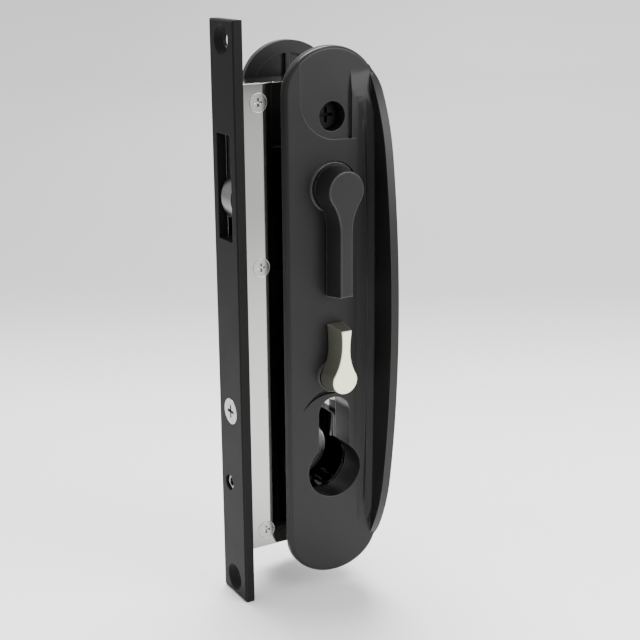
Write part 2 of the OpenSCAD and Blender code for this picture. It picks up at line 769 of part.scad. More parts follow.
// Body of the pull plate on the room side
module plate_solid(rim, snib) difference() {
    union() {
        difference() {
            sloped_body();
            if (snib) {
                screw_cut();
                groove();
            }
        }
        intersection() {
            translate([0, -low_y, -plate_len / 2]) linear_extrude(plate_len)
                mirror([0, 1, 0]) ridge_section();
            across(-low_y - ridge_rise, -low_y + edge_round) polygon(pill(edge_round));
            along(0, fin_x1 + 1) {
                hill(ridge_rise, ridge_hill);
                translate([-plate_len / 2, -edge_round]) square([plate_len, edge_round]);
            }
        }
        intersection() {
            along(fin_x0, fin_x1 + 1) {
                hill(fin_rise, fin_hill);
                translate([-plate_len / 2, -plate_edge]) square([plate_len, plate_edge]);
            }
            across(-low_y - fin_rise, -seat_y) polygon(pill(0));
        }
        across(-hollow_y - 0.2, -case_y) boss_shapes(snib);
    }
    across(-hollow_y, -seat_y + CUT) difference() {
        polygon(pill(rim));
        rib_shapes();
        boss_shapes(snib);
    }
    across(-low_y - ridge_rise - 1, -case_y + CUT) euro(key_gap);
    bar(backset, lever_z, lever_ring_r + RUN, -low_y - ridge_rise, -low_y);
    bar(backset, lever_z, sleeve_r + RUN, -low_y - CUT, -case_y + CUT);
    bar(backset, lever_z, clip_room_r, -clip_y - clip_t - SLIP, -case_y + CUT);
}

// Crescent groove over the cylinder opening, which deepens as the face rises
module groove() across(-low_y - ridge_rise, -groove_y) difference() {
    translate([groove_x, groove_z]) circle(r = groove_out_r);
    translate([groove_x, groove_z] + groove_shift) circle(r = groove_in_r);
    translate([groove_end, groove_z - plate_w]) square([plate_w, 2 * plate_w]);
    translate([backset - plate_w, groove_start - 2 * plate_w]) square(2 * plate_w);
}

module front_plate() color(BLACK) difference() {
    plate_solid(front_rim, true);
    bar(backset, plate_screw_z, plate_screw_hole, -low_y - 1, -plate_floor);
    bar(backset, plate_screw_z, plate_bolt_r + RUN, -low_y, -case_y + CUT);
    bar(backset, snib_z, snib_ring_r + RUN, -low_y - ridge_rise, -low_y);
    bar(backset, snib_z, snib_sleeve_r + RUN, -low_y - CUT, -case_y + CUT);
}

module rear_plate() color(BLACK) mirror([0, 1, 0]) difference() {
    plate_solid(rear_rim, false);
    bar(backset, plate_screw_z, plate_bolt_r + RUN, -low_y + rear_skin, -case_y + CUT);
}

module plate_screw() color(BLACK) difference() {
    union() {
        bar(backset, plate_screw_z, plate_head_r, -plate_floor - plate_head_h, -plate_floor);
        bar(backset, plate_screw_z, plate_bolt_r, -plate_floor - 1, seat_y - 0.5);
    }
    translate([backset, -plate_floor - plate_head_h, plate_screw_z]) for (a = [0, 90]) rotate([0, a, 0])
        block([-plate_cross[0], -CUT, -plate_cross[1]], [plate_cross[0], plate_cross[2], plate_cross[1]]);
}

// Deadlock

// Slide as it stands with the snib up, clear of the follower
module deadlock_slide() color(STEEL) across(slide_y0, slide_y1) difference() {
    pin_x = backset + crank_r * cos(snib_turn / 2);
    pin_z = snib_z - slide_travel / 2;
    slot_half = crank_pin_r + crank_gap;
    low = pin_z - slot_half - prong_t;
    union() {
        translate([backset - nose_half, nose_z]) square([2 * nose_half, nose_out - nose_z]);
        translate([backset - nose_half, nose_z]) square([bar_x1 - backset + nose_half, arm_h]);
        translate([bar_x0, low]) square([bar_x1 - bar_x0, nose_z + arm_h - low]);
        translate([pin_x - 0.6, low]) square([bar_x1 - pin_x, pin_z + slot_half + prong_t - low]);
        translate([leg_x0, key_z + 3]) square([bar_x1 - leg_x0, low - key_z]);
    }
    slot = crank_r * (1 - cos(snib_turn / 2)) + crank_pin_r + 1.4;
    translate([pin_x - 1, pin_z - slot_half]) square([slot, 2 * slot_half]);
}

// Crank of the snib: disc, front journal, rear stub and crank pin
module snib_hub() color(STEEL) difference() {
    union() {
        bar(backset, snib_z, hub_journal_r, -case_y, -room_y + 1);
        bar(backset, snib_z, hub_disc_r, -room_y + 0.1, slide_y0 - SLIP);
        bar(backset, snib_z, stub_r, slide_y0 - 1, case_y);
        translate([backset, 0, snib_z]) rotate([0, snib_turn / 2, 0])
            bar(crank_r, 0, crank_pin_r, slide_y0 - 1, slide_y1);
    }
    square_across(snib_z, snib_fit, -case_w, snib_spindle_y1 + 0.1);
}

module snib_spindle() color(STEEL) square_across(snib_z, snib_sq, -snib_spindle_y0, snib_spindle_y1);

// Outline moved out by d, with each side kept parallel to where it was
function moved(points, d) = let (n = len(points)) [for (i = [0 : n - 1]) let (
    a = points[(i + n - 1) % n], b = points[i], c = points[(i + 1) % n],
    u = (b - a) / norm(b - a), v = (c - b) / norm(c - b))
    b + d / (1 + u * v) * [u[1] + v[1], -u[0] - v[0]]];

// Outline of the snib where it starts
snib_base = lever_shape(backset, snib_z, 180, snib_bulb_r + snib_draft, snib_neck_half + snib_draft,
    snib_reach + snib_draft, snib_blend - snib_draft, snib_flare, 0);

// Section of the snib parallel to its sloping face, at a depth below it and drawn in by inset
function snib_section(depth, inset) = let (
    low = moved(snib_base, -inset),
    high = moved(snib_base, -inset - snib_draft)) [for (i = [0 : len(low) - 1]) let (
        p = low[i], q = high[i],
        t = (snib_h + snib_rise * (p[1] - snib_z) - depth) / (snib_h - snib_rise * (q[1] - p[1])))
        [p[0] + t * (q[0] - p[0]), -snib_y0 - t * snib_h, p[1] + t * (q[1] - p[1])]];

module snib_lever() color([0.25, 0.25, 0.22]) difference() {
    union() {
        loft([snib_section(inlay_t, 0), flat_at(-snib_y0, snib_base)], halves = true);
        bar(backset, snib_z, snib_shank_r, -snib_y0 - 0.5, -case_y - 0.2);
    }
    square_across(snib_z, snib_fit, -snib_spindle_y0 - 0.1, 0);
}

module snib_inlay() color(CREAM)
    loft([snib_section(0, inlay_edge), snib_section(inlay_t, inlay_edge)], halves = true);

module snib_bush() color(BLACK) turned(backset, snib_z,
    [[snib_shank_r + RUN, case_y + 0.3], [snib_sleeve_r, case_y + 0.3], [snib_sleeve_r, low_y],
        [snib_ring_r, low_y], [snib_ring_r, ring_y - ring_chamfer], [snib_ring_r - ring_chamfer, ring_y],
        [snib_shank_r + RUN, ring_y]]);

faceplate();
case_body();
case_cover();
case_screws();
cylinder_screw();
grub_screw();
hook_bolt();
hook_pin();
follower();
spindle();
front_lever();
rear_lever();
lever_bushes();
lever_clips();
lever_spring();
front_plate();
rear_plate();
plate_screw();
deadlock_slide();
snib_hub();
snib_spindle();
snib_lever();
snib_inlay();
snib_bush();
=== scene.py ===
"""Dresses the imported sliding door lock.

Each piece gets its finish on a softened copy of its solid, the front plate gets a bead along its ridge, and a
studio with lights and a camera goes round the lock.
"""

import logging
import math
from dataclasses import dataclass, field, replace
from enum import Enum
from typing import Dict, List, Optional, Sequence, Tuple

import bmesh
import bpy
import numpy as np
from mathutils import Matrix, Vector


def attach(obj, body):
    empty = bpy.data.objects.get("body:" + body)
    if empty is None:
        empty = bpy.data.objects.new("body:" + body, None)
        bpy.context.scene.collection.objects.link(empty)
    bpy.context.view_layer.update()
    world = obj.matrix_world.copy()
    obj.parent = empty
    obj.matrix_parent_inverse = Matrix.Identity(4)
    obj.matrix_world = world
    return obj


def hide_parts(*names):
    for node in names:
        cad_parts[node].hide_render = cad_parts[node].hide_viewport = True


LOG = logging.getLogger("lock")
Colour = Tuple[float, float, float]


class Body(Enum):
    """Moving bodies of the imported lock."""

    FRAME = "frame"
    LEVER = "lever"
    HOOK = "hook"
    SNIB = "snib"
    SLIDE = "slide"


# Node helpers


class Graph:
    """A small writer of shader nodes for one node tree.

    Args:
        tree: the node tree that the nodes go into.
    """

    def __init__(self, tree: bpy.types.NodeTree) -> None:
        """Keeps the tree."""
        self.tree = tree

    def node(self, kind: str, **settings: object) -> bpy.types.Node:
        """Adds a node and sets its plain properties.

        Args:
            kind: the node's type name.
            settings: property names and values.

        Returns:
            The new node.
        """
        made = self.tree.nodes.new(kind)
        for name, value in settings.items():
            setattr(made, name, value)
        return made

    def link(self, source: bpy.types.NodeSocket, target: bpy.types.NodeSocket) -> None:
        """Joins two sockets."""
        self.tree.links.new(source, target)

    def feed(self, target: bpy.types.NodeSocket, value: object) -> None:
        """Links a socket into the target, or sets the target to a plain value.

        Args:
            target: the input socket.
            value: a socket or a value.
        """
        if isinstance(value, bpy.types.NodeSocket):
            self.link(value, target)
        else:
            target.default_value = value

    def maths(self, operation: str, *values: object, clamp: bool = False) -> bpy.types.NodeSocket:
        """Adds a Math node.

        Args:
            operation: Blender's name for the operation.
            values: sockets or numbers for its inputs.
            clamp: whether the result stays within 0 and 1.

        Returns:
            The result socket.
        """
        made = self.node("ShaderNodeMath", operation=operation, use_clamp=clamp)
        for i, value in enumerate(values):
            self.feed(made.inputs[i], value)
        return made.outputs[0]

    def ramp(self, value: object, low: float, high: float, out_low: float,
             out_high: float) -> bpy.types.NodeSocket:
        """Maps a value from one range to another, held within it.

        Args:
            value: the socket or number to map.
            low: start of its range.
            high: end of its range.
            out_low: what the start becomes.
            out_high: what the end becomes.

        Returns:
            The mapped socket.
        """
        made = self.node("ShaderNodeMapRange", clamp=True)
        limits = {"From Min": low, "From Max": high, "To Min": out_low, "To Max": out_high}
        for name, number in limits.items():
            made.inputs[name].default_value = number
        self.feed(made.inputs["Value"], value)
        return made.outputs["Result"]

    def mix(self, factor: object, first: object, second: object) -> bpy.types.NodeSocket:
        """Mixes two colours by a factor.

        Args:
            factor: 0 for the first colour, 1 for the second.
            first: a socket or a colour.
            second: a socket or a colour.

        Returns:
            The mixed colour.
        """
        made = self.node("ShaderNodeMix", data_type="RGBA")
        self.feed(made.inputs["Factor"], factor)
        for name, value in (("A", first), ("B", second)):
            target = [s for s in made.inputs if s.name == name and s.type == "RGBA"][0]
            self.feed(target, value if isinstance(value, bpy.types.NodeSocket) else (*value, 1.0))
        return [s for s in made.outputs if s.type == "RGBA"][0]

    def stretched(self, vector: bpy.types.NodeSocket, scale: Sequence[float]) -> bpy.types.NodeSocket:
        """Scales a vector by a different amount along each axis.

        Args:
            vector: the vector.
            scale: the three amounts.

        Returns:
            The scaled vector.
        """
        made = self.node("ShaderNodeMapping")
        made.inputs["Scale"].default_value = tuple(scale)
        self.link(vector, made.inputs["Vector"])
        return made.outputs["Vector"]


# What the two groups hold for every finish, and the radius and fine scale that they start with
EDGE_SAMPLES = 6
# Gain of the mask that lays a painted highlight along outer edges.
EDGE_HIGHLIGHT_GAIN = 4.0
EDGE_RADIUS = 0.0003
FINE_DETAIL = 2.0
FINE_SCALE = 4000.0
COARSE_DETAIL = 4.0
COARSE_SCALE = 60.0


class NodeGroups:
    """Shader groups that several finishes share, each made once."""

    def __init__(self) -> None:
        """Starts with no groups made."""
        self.made: Dict[str, bpy.types.NodeTree] = {}

    def _new(self, name: str, inputs: Sequence[Tuple[str, str, float]],
             outputs: Sequence[Tuple[str, str]]) -> bpy.types.NodeTree:
        """Makes an empty group with named sockets.

        Args:
            name: the group's name.
            inputs: name, socket type and default of each input.
            outputs: name and socket type of each output.

        Returns:
            The new group.
        """
        tree = bpy.data.node_groups.new(name, "ShaderNodeTree")
        for label, kind, value in inputs:
            socket = tree.interface.new_socket(label, in_out="INPUT", socket_type=kind)
            if kind == "NodeSocketFloat":
                socket.default_value = value
        for label, kind in outputs:
            tree.interface.new_socket(label, in_out="OUTPUT", socket_type=kind)
        self.made[name] = tree
        return tree

    def edges(self) -> bpy.types.NodeTree:
        """Rounded edges: a softened normal, and the mask of a painted highlight, which is 1 on outer edges.

        The mask is one minus the dot product of the softened normal and the true normal, times the gain of
        the painted highlight, held within 0 and 1.

        Returns:
            The group.
        """
        if "rounded edges" in self.made:
            return self.made["rounded edges"]
        tree = self._new("rounded edges", [("Radius", "NodeSocketFloat", EDGE_RADIUS)],
                         [("Normal", "NodeSocketVector"), ("Highlight", "NodeSocketFloat")])
        g = Graph(tree)
        enter, leave = g.node("NodeGroupInput"), g.node("NodeGroupOutput")
        bevel = g.node("ShaderNodeBevel", samples=EDGE_SAMPLES)
        g.link(enter.outputs["Radius"], bevel.inputs["Radius"])
        plain = g.node("ShaderNodeNewGeometry")
        dot = g.node("ShaderNodeVectorMath", operation="DOT_PRODUCT")
        g.link(bevel.outputs["Normal"], dot.inputs[0])
        g.link(plain.outputs["Normal"], dot.inputs[1])
        highlight = g.maths("SUBTRACT", 1.0, dot.outputs["Value"])
        g.link(bevel.outputs["Normal"], leave.inputs["Normal"])
        g.link(g.maths("MULTIPLY", highlight, EDGE_HIGHLIGHT_GAIN, clamp=True), leave.inputs["Highlight"])
        return tree

    def grain(self) -> bpy.types.NodeTree:
        """Fine and coarse grain: a height for bumps, and a slow cloud for colour and gloss.

        Returns:
            The group.
        """
        if "surface grain" in self.made:
            return self.made["surface grain"]
        tree = self._new("surface grain",
                         [("Vector", "NodeSocketVector", 0.0), ("Fine", "NodeSocketFloat", FINE_SCALE),
                          ("Coarse", "NodeSocketFloat", COARSE_SCALE)],
                         [("Height", "NodeSocketFloat"), ("Cloud", "NodeSocketFloat")])
        g = Graph(tree)
        enter, leave = g.node("NodeGroupInput"), g.node("NodeGroupOutput")
        for socket, detail, out in (("Fine", FINE_DETAIL, "Height"), ("Coarse", COARSE_DETAIL, "Cloud")):
            made = g.node("ShaderNodeTexNoise")
            made.inputs["Detail"].default_value = detail
            g.link(enter.outputs["Vector"], made.inputs["Vector"])
            g.link(enter.outputs[socket], made.inputs["Scale"])
            g.link(made.outputs["Fac"], leave.inputs[out])
        return tree


GROUPS = NodeGroups()


# Finishes


@dataclass(frozen=True)
class Shade:
    """A dark upright capsule in X and Z, where little light gets in.

    Attributes:
        x: where it stands, in metres.
        low: height of its lower centre.
        high: height of its upper centre.
        radius: its radius.
        rim: width over which it fades away outside its radius.
        tone: its linear colour.
    """

    x: float
    low: float
    high: float
    radius: float
    rim: float = 0.0005
    tone: Colour = (0.004, 0.004, 0.004)

    def over(self, g: Graph, colour: bpy.types.NodeSocket) -> bpy.types.NodeSocket:
        """Lays the shade over a colour.

        The mask follows the distance to the segment from (x, low) to (x, high): it is 1 up to the radius and
        falls to 0 over the rim.

        Args:
            g: the writer of the material's nodes.
            colour: the colour so far.

        Returns:
            The colour with the shade over it.
        """
        parts = g.node("ShaderNodeSeparateXYZ")
        g.link(g.node("ShaderNodeTexCoord").outputs["Object"], parts.inputs[0])
        across = g.maths("SUBTRACT", parts.outputs["X"], self.x)
        nearest = g.maths("MINIMUM", g.maths("MAXIMUM", parts.outputs["Z"], self.low), self.high)
        up = g.maths("SUBTRACT", parts.outputs["Z"], nearest)
        square = g.maths("ADD", g.maths("MULTIPLY", across, across), g.maths("MULTIPLY", up, up))
        mask = g.ramp(g.maths("SQRT", square), self.radius, self.radius + self.rim, 1.0, 0.0)
        return g.mix(mask, colour, self.tone)


# Noise values between which the clouds run from dark to light, and the depth of the bumps in metres
CLOUD_LOW = 0.3
CLOUD_HIGH = 0.7
BUMP_DISTANCE = 0.0001


@dataclass(frozen=True)
class Finish:
    """A surface finish with rounded edges, a painted highlight along them, fine grain and slow clouds.

    Attributes:
        name: the material's name.
        colour: linear base colour.
        metallic: 0 for paint and plastic, 1 for bare metal.
        roughness: middle roughness.
        rough_spread: how far clouds move the roughness.
        edge_highlight_colour: linear colour of the painted highlight along outer edges.
        edge_radius: radius of the rounded look of edges, in metres.
        fine: scale of the fine grain.
        bump: strength of the fine grain.
        stretch: scale of the grain along X, Y and Z.
        cloud: how far clouds move the colour.
        specular: specular level.
        shade: where the piece lies in shade, or none.
    """

    name: str
    colour: Colour
    metallic: float = 0.0
    roughness: float = 0.5
    rough_spread: float = 0.06
    edge_highlight_colour: Colour = (0.1, 0.1, 0.1)
    edge_radius: float = 0.0003
    fine: float = 3000.0
    bump: float = 0.05
    stretch: Tuple[float, float, float] = (1.0, 1.0, 1.0)
    cloud: float = 0.1
    specular: float = 0.5
    shade: Optional[Shade] = None

    def base(self, g: Graph, cloud: bpy.types.NodeSocket, highlight: bpy.types.NodeSocket) -> bpy.types.NodeSocket:
        """Base colour: darker and lighter with the clouds, then a painted highlight on outer edges, then any
        painted shade.

        Args:
            g: the writer of the material's nodes.
            cloud: value of the slow clouds.
            highlight: mask of the painted highlight, 1 on outer edges.

        Returns:
            The colour.
        """
        dark = tuple(c * (1.0 - self.cloud) for c in self.colour)
        light = tuple(min(1.0, c * (1.0 + self.cloud)) for c in self.colour)
        clouded = g.mix(g.ramp(cloud, CLOUD_LOW, CLOUD_HIGH, 0.0, 1.0), dark, light)
        edged = g.mix(highlight, clouded, self.edge_highlight_colour)
        return edged if self.shade is None else self.shade.over(g, edged)

    def material(self) -> bpy.types.Material:
        """Builds the material, or gives the one already built.

        Returns:
            The material.
        """
        if self.name in bpy.data.materials:
            return bpy.data.materials[self.name]
        made = bpy.data.materials.new(self.name)
        made.use_nodes = True
        made.node_tree.nodes.clear()
        g = Graph(made.node_tree)
        place = g.stretched(g.node("ShaderNodeTexCoord").outputs["Object"], self.stretch)
        grain = g.node("ShaderNodeGroup", node_tree=GROUPS.grain())
        g.link(place, grain.inputs["Vector"])
        grain.inputs["Fine"].default_value = self.fine
        edges = g.node("ShaderNodeGroup", node_tree=GROUPS.edges())
        edges.inputs["Radius"].default_value = self.edge_radius
        shader = g.node("ShaderNodeBsdfPrincipled")
        # The base colour carries the painted highlight along outer edges and any painted shade.
        colour = self.base(g, grain.outputs["Cloud"], edges.outputs["Highlight"])
        g.link(colour, shader.inputs["Base Color"])
        smooth, rough = self.roughness - self.rough_spread, self.roughness + self.rough_spread
        gloss = g.ramp(grain.outputs["Cloud"], CLOUD_LOW, CLOUD_HIGH, smooth, rough)
        g.link(gloss, shader.inputs["Roughness"])
        bump = g.node("ShaderNodeBump")
        bump.inputs["Strength"].default_value = self.bump
        bump.inputs["Distance"].default_value = BUMP_DISTANCE
        g.link(grain.outputs["Height"], bump.inputs["Height"])
        g.link(edges.outputs["Normal"], bump.inputs["Normal"])
        g.link(bump.outputs["Normal"], shader.inputs["Normal"])
        shader.inputs["Metallic"].default_value = self.metallic
        shader.inputs["Specular IOR Level"].default_value = self.specular
        g.link(shader.outputs["BSDF"], g.node("ShaderNodeOutputMaterial").inputs["Surface"])
        return made


# The colour along outer edges in each finish is a painted highlight.
POWDER_COAT = Finish("black powder coat", (0.0095, 0.0095, 0.0093), roughness=0.34, rough_spread=0.03,
                     specular=0.22, edge_highlight_colour=(0.08, 0.08, 0.078), edge_radius=0.0003, fine=2600.0,
                     bump=0.06, cloud=0.05)
# A lit copy of the black coat, with a bright painted highlight along the rims of the levers and bushes.
EDGE_LIT_COAT = replace(POWDER_COAT, name="black coat with bright painted highlights", roughness=0.32, specular=0.24,
                      edge_highlight_colour=(0.42, 0.415, 0.4), edge_radius=0.00025)
# A shaded copy of the black coat for the faceplate: far less specular and a dimmer painted highlight make it
# read darker.
SHADED_FOREND_COAT = replace(POWDER_COAT, name="black forend coat, shaded", colour=(0.011, 0.011, 0.011), roughness=0.42,
                      specular=0.045, edge_highlight_colour=(0.05, 0.05, 0.05))
# The cheeks of the case lie in shade round the cylinder opening, behind the two plates.
ZINC_PLATE = Finish("bright zinc plate", (0.41, 0.414, 0.395), metallic=1.0, roughness=0.06,
                    rough_spread=0.02, edge_highlight_colour=(0.8, 0.8, 0.77), edge_radius=0.0002, fine=900.0,
                    bump=0.01, stretch=(1.0, 1.0, 0.05), cloud=0.03,
                    shade=Shade(x=0.0277, low=-0.0472, high=-0.0405, radius=0.0108))
SCREW_ZINC = Finish("zinc screw heads", (0.42, 0.425, 0.41), metallic=1.0, roughness=0.22, rough_spread=0.05,
                    edge_highlight_colour=(0.5, 0.5, 0.49), edge_radius=0.00015, fine=3000.0, bump=0.05)
NICKEL = Finish("nickel plate", (0.36, 0.36, 0.352), metallic=1.0, roughness=0.2, rough_spread=0.05,
                edge_highlight_colour=(0.95, 0.95, 0.93), edge_radius=0.0002, fine=3000.0, bump=0.04)
STEEL = Finish("ground steel", (0.18, 0.184, 0.188), metallic=1.0, roughness=0.32, rough_spread=0.08,
               edge_highlight_colour=(0.42, 0.425, 0.43), edge_radius=0.0003, fine=1500.0, bump=0.12,
               stretch=(1.0, 1.0, 0.12), cloud=0.12)
BLACK_OXIDE = Finish("black oxide", (0.002, 0.002, 0.002), roughness=0.55, specular=0.12,
                     edge_highlight_colour=(0.006, 0.006, 0.006), edge_radius=0.0002, fine=3000.0, bump=0.05)
OLIVE = Finish("olive coat", (0.052, 0.053, 0.04), roughness=0.42, rough_spread=0.05,
               edge_highlight_colour=(0.3, 0.3, 0.26), edge_radius=0.00025, fine=2600.0, bump=0.08)
CREAM = Finish("cream face", (0.98, 0.965, 0.68), roughness=0.4, rough_spread=0.04, specular=0.3,
               edge_highlight_colour=(0.9, 0.89, 0.76), edge_radius=0.0002, fine=2600.0, bump=0.03, cloud=0.02)


# Mesh helpers


# Lengths in metres under which points merge and slivers go
MERGE_DISTANCE = 2e-6
SLIVER_LENGTH = 1e-6
SEAM_DISTANCE = 1e-7
FLAT_DEGREES = 0.4
SHARP_DEGREES = 26.0
MM_IN_A_METRE = 1000.0


def softened(node: bpy.types.Object, name: str) -> bpy.types.Object:
    """Merged copy of a CAD node, shaded smooth except over sharp corners.

    Args:
        node: the CAD node's object.
        name: the new piece's name.

    Returns:
        The new piece, at the origin.
    """
    mesh = node.data.copy()
    work = bmesh.new()
    work.from_mesh(mesh)
    bmesh.ops.remove_doubles(work, verts=work.verts, dist=MERGE_DISTANCE)
    bmesh.ops.dissolve_degenerate(work, edges=work.edges, dist=SLIVER_LENGTH)
    bmesh.ops.dissolve_limit(work, angle_limit=math.radians(FLAT_DEGREES), verts=work.verts, edges=work.edges)
    work.to_mesh(mesh)
    work.free()
    mesh.materials.clear()
    if "custom_normal" in mesh.attributes:
        mesh.attributes.remove(mesh.attributes["custom_normal"])
    mesh.polygons.foreach_set("use_smooth", np.ones(len(mesh.polygons), bool))
    mesh.set_sharp_from_angle(angle=math.radians(SHARP_DEGREES))
    piece = bpy.data.objects.new(name, mesh)
    bpy.context.scene.collection.objects.link(piece)
    even = piece.modifiers.new("even shading", "WEIGHTED_NORMAL")
    even.keep_sharp = True
    return piece


def surface(name: str, points: np.ndarray, closed: bool = False, solid: bool = False) -> bpy.types.Object:
    """Mesh of a surface given on a grid.

    Args:
        name: the object's name.
        points: array of shape (rows, columns, 3).
        closed: whether the last column joins the first.
        solid: whether the surface encloses a solid, so that its faces are turned outward.

    Returns:
        The new object, at the origin.
    """
    rows, columns = points.shape[:2]
    index = np.arange(rows * columns).reshape(rows, columns)
    if closed:
        index = np.hstack([index, index[:, :1]])
    faces = np.stack([index[:-1, :-1], index[1:, :-1], index[1:, 1:], index[:-1, 1:]], -1).reshape(-1, 4)
    mesh = bpy.data.meshes.new(name)
    mesh.from_pydata(points.reshape(-1, 3).tolist(), [], faces.tolist())
    if solid:
        work = bmesh.new()
        work.from_mesh(mesh)
        bmesh.ops.remove_doubles(work, verts=work.verts, dist=SEAM_DISTANCE)
        bmesh.ops.recalc_face_normals(work, faces=work.faces)
        work.to_mesh(mesh)
        work.free()
    mesh.polygons.foreach_set("use_smooth", np.ones(len(mesh.polygons), bool))
    made = bpy.data.objects.new(name, mesh)
    bpy.context.scene.collection.objects.link(made)
    return made


# Sub-assemblies of the lock


@dataclass
class Dressing:
    """What a sub-assembly shows: CAD nodes, each with its finish and record slot.

    Attributes:
        nodes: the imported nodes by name.
        label: the sub-assembly's name in the log.
        body: the body that its new pieces ride on.
        finishes: node name to finish and record slot.
    """

    nodes: Dict[str, bpy.types.Object]
    label: str = "assembly"
    body: Body = Body.FRAME
    finishes: Dict[str, Tuple[Finish, str]] = field(default_factory=dict)

    def dress(self, node: str, finish: Finish, body: Body) -> None:
        """Puts a softened copy in place of a node and gives it its finish.

        Args:
            node: the CAD node.
            finish: the finish of the piece.
            body: the body that the piece rides on.
        """
        piece = softened(self.nodes[node], node + "_look")
        piece.data.materials.append(finish.material())
        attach(piece, body.value)
        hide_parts(node)
        LOG.info("%s: %s in %s", self.label, node, finish.name)

    def build(self) -> None:
        """Dresses each of the sub-assembly's nodes."""
        for node, (finish, slot) in self.finishes.items():
            self.dress(node, finish, self.body)


@dataclass
class Faceplate(Dressing):
    """Faceplate and the two screws that show in it."""

    label: str = "faceplate"
    finishes: Dict[str, Tuple[Finish, str]] = field(default_factory=lambda: {
        "faceplate": (SHADED_FOREND_COAT, "black_coat"),
        "cylinder_screw": (NICKEL, "nickel"),
        "grub_screw": (NICKEL, "nickel"),
    })


@dataclass
class Case(Dressing):
    """Lock case, its cover and screws, and what stands still inside."""

    label: str = "case"
    finishes: Dict[str, Tuple[Finish, str]] = field(default_factory=lambda: {
        "case_body": (ZINC_PLATE, "zinc"),
        "case_cover": (ZINC_PLATE, "zinc"),
        "case_screws": (SCREW_ZINC, "zinc_screw"),
        "hook_pin": (STEEL, "steel"),
        "lever_spring": (STEEL, "steel"),
    })


@dataclass
class HookWork(Dressing):
    """Hook bolt."""

    label: str = "hook"
    body: Body = Body.HOOK
    finishes: Dict[str, Tuple[Finish, str]] = field(default_factory=lambda: {
        "hook_bolt": (STEEL, "steel"),
    })


@dataclass
class LeverWork(Dressing):
    """Levers, spindle, follower and the clips that hold the levers."""

    label: str = "levers"
    body: Body = Body.LEVER
    finishes: Dict[str, Tuple[Finish, str]] = field(default_factory=lambda: {
        "front_lever": (EDGE_LIT_COAT, "black_coat"),
        "rear_lever": (EDGE_LIT_COAT, "black_coat"),
        "follower": (STEEL, "steel"),
        "spindle": (STEEL, "steel"),
        "lever_clips": (STEEL, "steel"),
    })


@dataclass
class SnibWork(Dressing):
    """Snib, its pale face, its spindle and the hub that carries its crank."""

    label: str = "snib"
    body: Body = Body.SNIB
    finishes: Dict[str, Tuple[Finish, str]] = field(default_factory=lambda: {
        "snib_lever": (OLIVE, "olive"),
        "snib_inlay": (CREAM, "cream"),
        "snib_hub": (STEEL, "steel"),
        "snib_spindle": (STEEL, "steel"),
    })


@dataclass
class Deadlock(Dressing):
    """Slide that blocks the follower."""

    label: str = "deadlock"
    body: Body = Body.SLIDE
    finishes: Dict[str, Tuple[Finish, str]] = field(default_factory=lambda: {
        "deadlock_slide": (STEEL, "steel"),
    })


